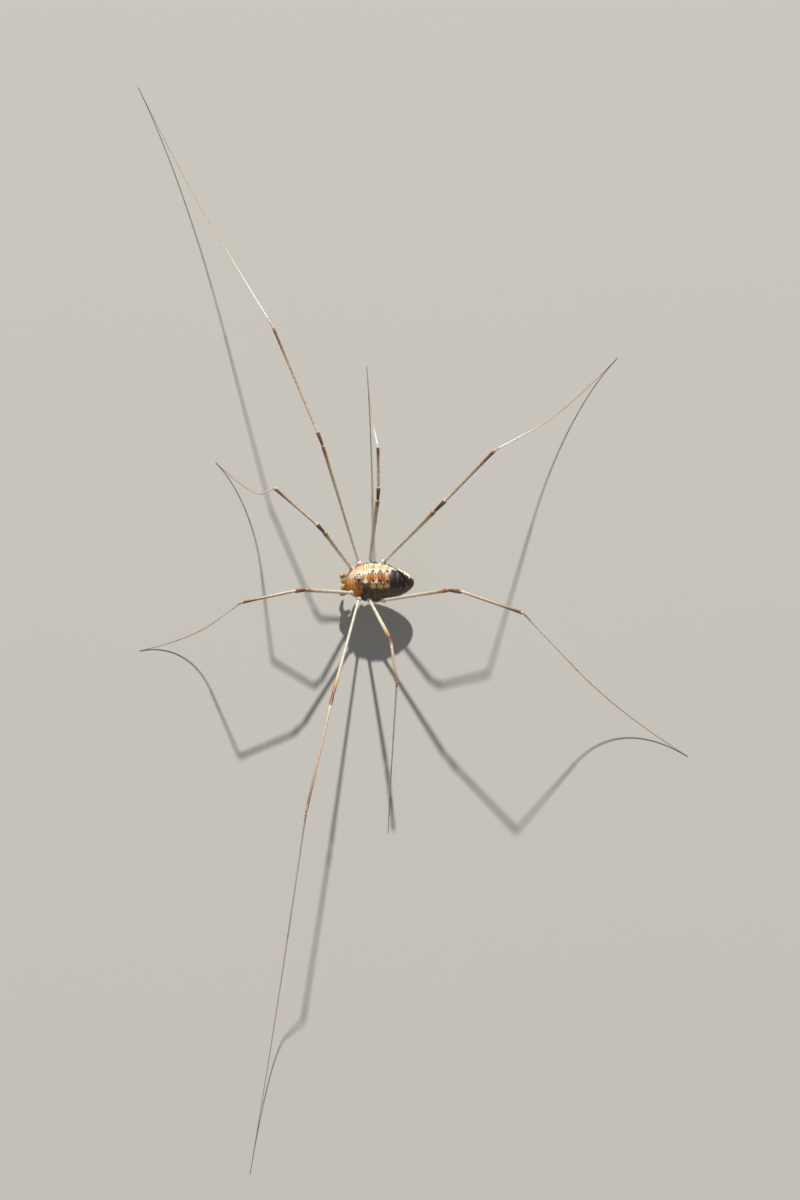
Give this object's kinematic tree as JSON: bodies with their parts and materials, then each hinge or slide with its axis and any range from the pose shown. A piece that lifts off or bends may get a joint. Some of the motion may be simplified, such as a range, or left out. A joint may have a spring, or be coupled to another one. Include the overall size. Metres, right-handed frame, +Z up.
{
  "type": "harvestman",
  "caption": "Life-size still model of a harvestman with an oval body and very long thin jointed legs, standing on its feet.",
  "frame": {"origin": "on the floor under the middle of the whole animal's bounding box", "axes": "+X towards the animal's rear, +Y to its right, +Z up"},
  "size_m": [0.0552, 0.1106, 0.0144],
  "materials": {
    "carapace": "dry mottled cuticle, satin",
    "abdomen": "leathery cuticle with a dark saddle, satin",
    "eye": "glossy black lens",
    "mouthpart": "pale horny cuticle",
    "coxa": "pale horny cuticle",
    "femur": "straw coloured cuticle",
    "patella": "dark red brown cuticle",
    "tibia": "tan cuticle, darker at the end",
    "metatarsus": "cream cuticle",
    "tarsus": "grey brown cuticle"
  },
  "bodies": {
    "root": {"prosoma": "carapace", "opisthosoma": "abdomen", "eye_left": "eye", "chelicera_left": "mouthpart", "pedipalp_left": "mouthpart", "eye_right": "eye", "chelicera_right": "mouthpart", "pedipalp_right": "mouthpart", "leg_1_left_coxa": "coxa", "leg_1_left_femur": "femur", "leg_1_left_patella": "patella", "leg_1_left_tibia": "tibia", "leg_1_left_metatarsus": "metatarsus", "leg_1_left_tarsus": "tarsus", "leg_1_right_coxa": "coxa", "leg_1_right_femur": "femur", "leg_1_right_patella": "patella", "leg_1_right_tibia": "tibia", "leg_1_right_metatarsus": "metatarsus", "leg_1_right_tarsus": "tarsus", "leg_2_left_coxa": "coxa", "leg_2_left_femur": "femur", "leg_2_left_patella": "patella", "leg_2_left_tibia": "tibia", "leg_2_left_metatarsus": "metatarsus", "leg_2_left_tarsus": "tarsus", "leg_2_right_coxa": "coxa", "leg_2_right_femur": "femur", "leg_2_right_patella": "patella", "leg_2_right_tibia": "tibia", "leg_2_right_metatarsus": "metatarsus", "leg_2_right_tarsus": "tarsus", "leg_3_left_coxa": "coxa", "leg_3_left_femur": "femur", "leg_3_left_patella": "patella", "leg_3_left_tibia": "tibia", "leg_3_left_metatarsus": "metatarsus", "leg_3_left_tarsus": "tarsus", "leg_3_right_coxa": "coxa", "leg_3_right_femur": "femur", "leg_3_right_patella": "patella", "leg_3_right_tibia": "tibia", "leg_3_right_metatarsus": "metatarsus", "leg_3_right_tarsus": "tarsus", "leg_4_left_coxa": "coxa", "leg_4_left_femur": "femur", "leg_4_left_patella": "patella", "leg_4_left_tibia": "tibia", "leg_4_left_metatarsus": "metatarsus", "leg_4_left_tarsus": "tarsus", "leg_4_right_coxa": "coxa", "leg_4_right_femur": "femur", "leg_4_right_patella": "patella", "leg_4_right_tibia": "tibia", "leg_4_right_metatarsus": "metatarsus", "leg_4_right_tarsus": "tarsus"}
  },
  "joints": []
}
